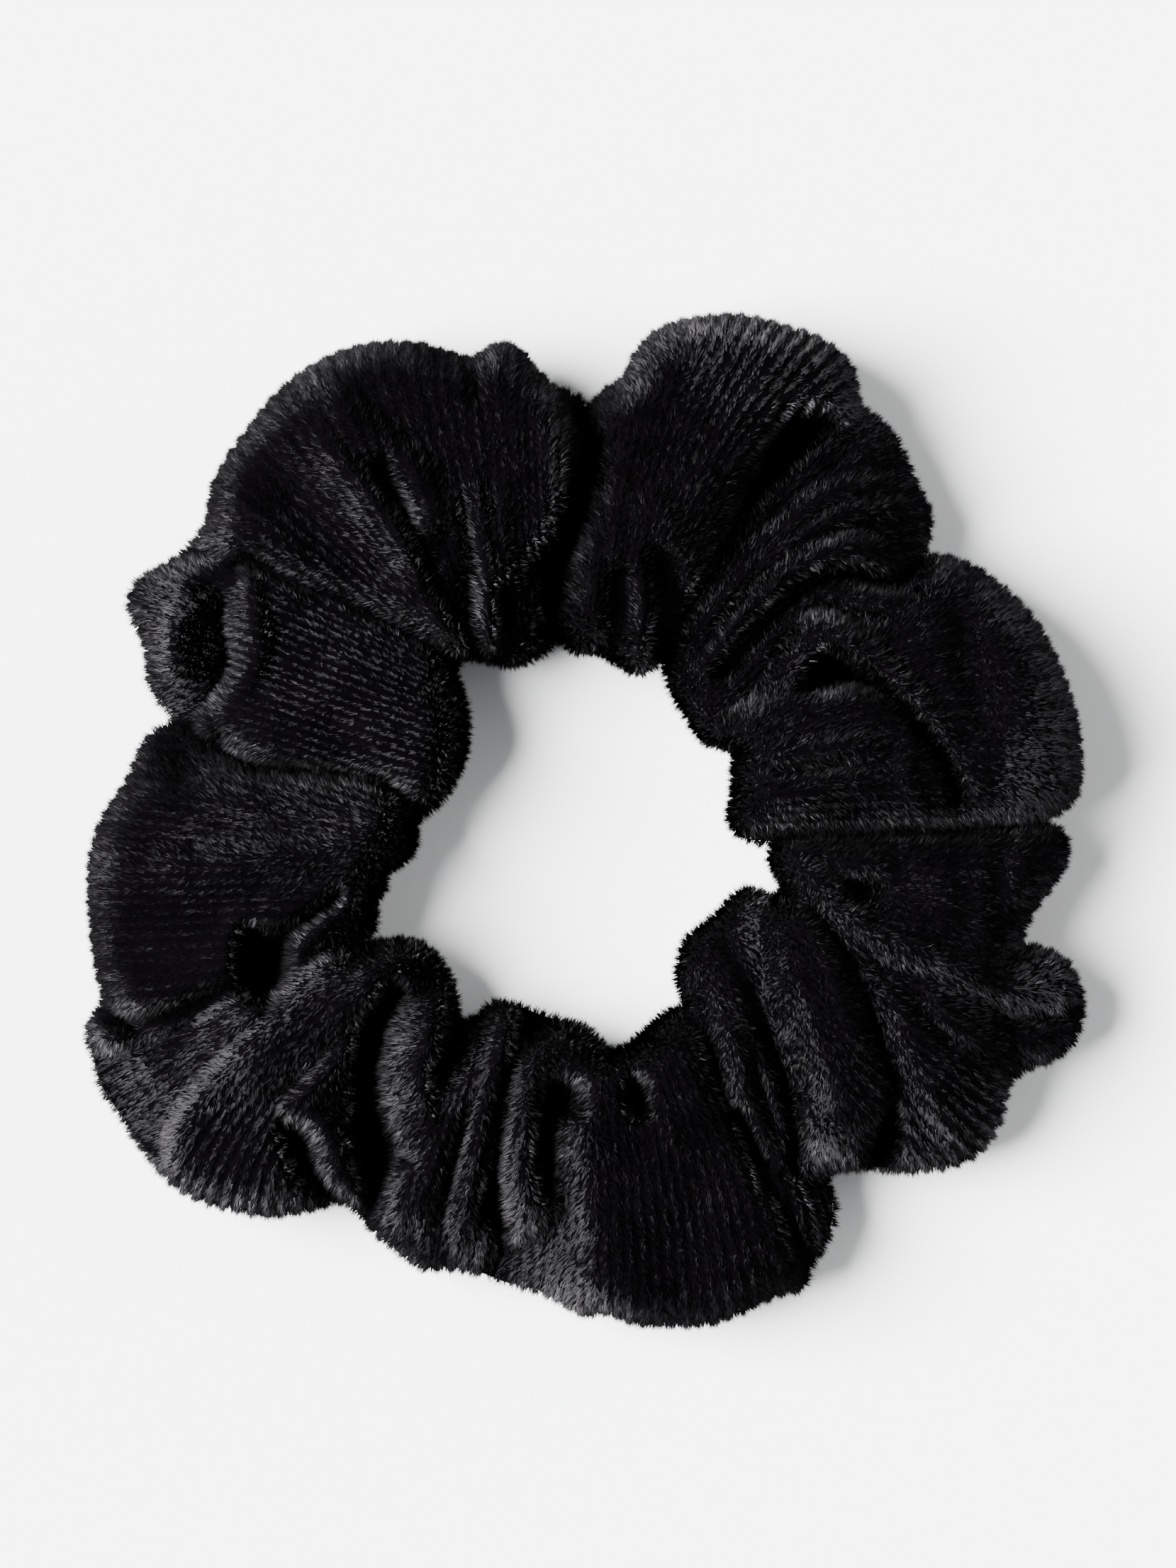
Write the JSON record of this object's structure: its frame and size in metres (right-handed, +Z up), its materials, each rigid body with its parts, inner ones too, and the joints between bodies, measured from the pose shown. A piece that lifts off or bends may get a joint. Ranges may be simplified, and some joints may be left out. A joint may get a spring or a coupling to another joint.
{
  "type": "velvet hair scrunchie",
  "caption": "Full, gathered ring of black ribbed stretch velvet over a hidden flat elastic loop, lying flat; its two halves pull apart and spring back.",
  "frame": {"origin": "on the surface the scrunchie lies on, under the middle of its box", "axes": "+Z up out of the ring's flat side; +X across the ring, the way the right half pulls away from the left; +Y towards the far side of the ring as it lies"},
  "size_m": [0.0984, 0.1004, 0.0248],
  "materials": {
    "velvet": "black stretch velvet with fine ribs and a short pile, near black face on, dark grey along rolled edges",
    "braid": "matt black braided elastic cover",
    "rubber": "natural rubber thread, dull",
    "thread": "black sewing thread"
  },
  "bodies": {
    "left_half": {"sleeve_left": "velvet", "elastic_braid": "braid", "rubber_thread_1": "rubber", "rubber_thread_2": "rubber", "rubber_thread_3": "rubber", "rubber_thread_4": "rubber", "lap_stitches": "thread", "long_seam_thread": "thread", "closing_seam_thread": "thread"},
    "right_half": {"sleeve_right": "velvet"}
  },
  "joints": [
    {"name": "stretch_pull", "type": "slide", "parent": "left_half", "child": "right_half", "axis": [1, 0, 0], "range_m": [0, 0.08], "stiffness_N_per_m": 60, "deforming": ["elastic_braid", "rubber_thread_1", "rubber_thread_2", "rubber_thread_3", "rubber_thread_4", "long_seam_thread"]}
  ]
}
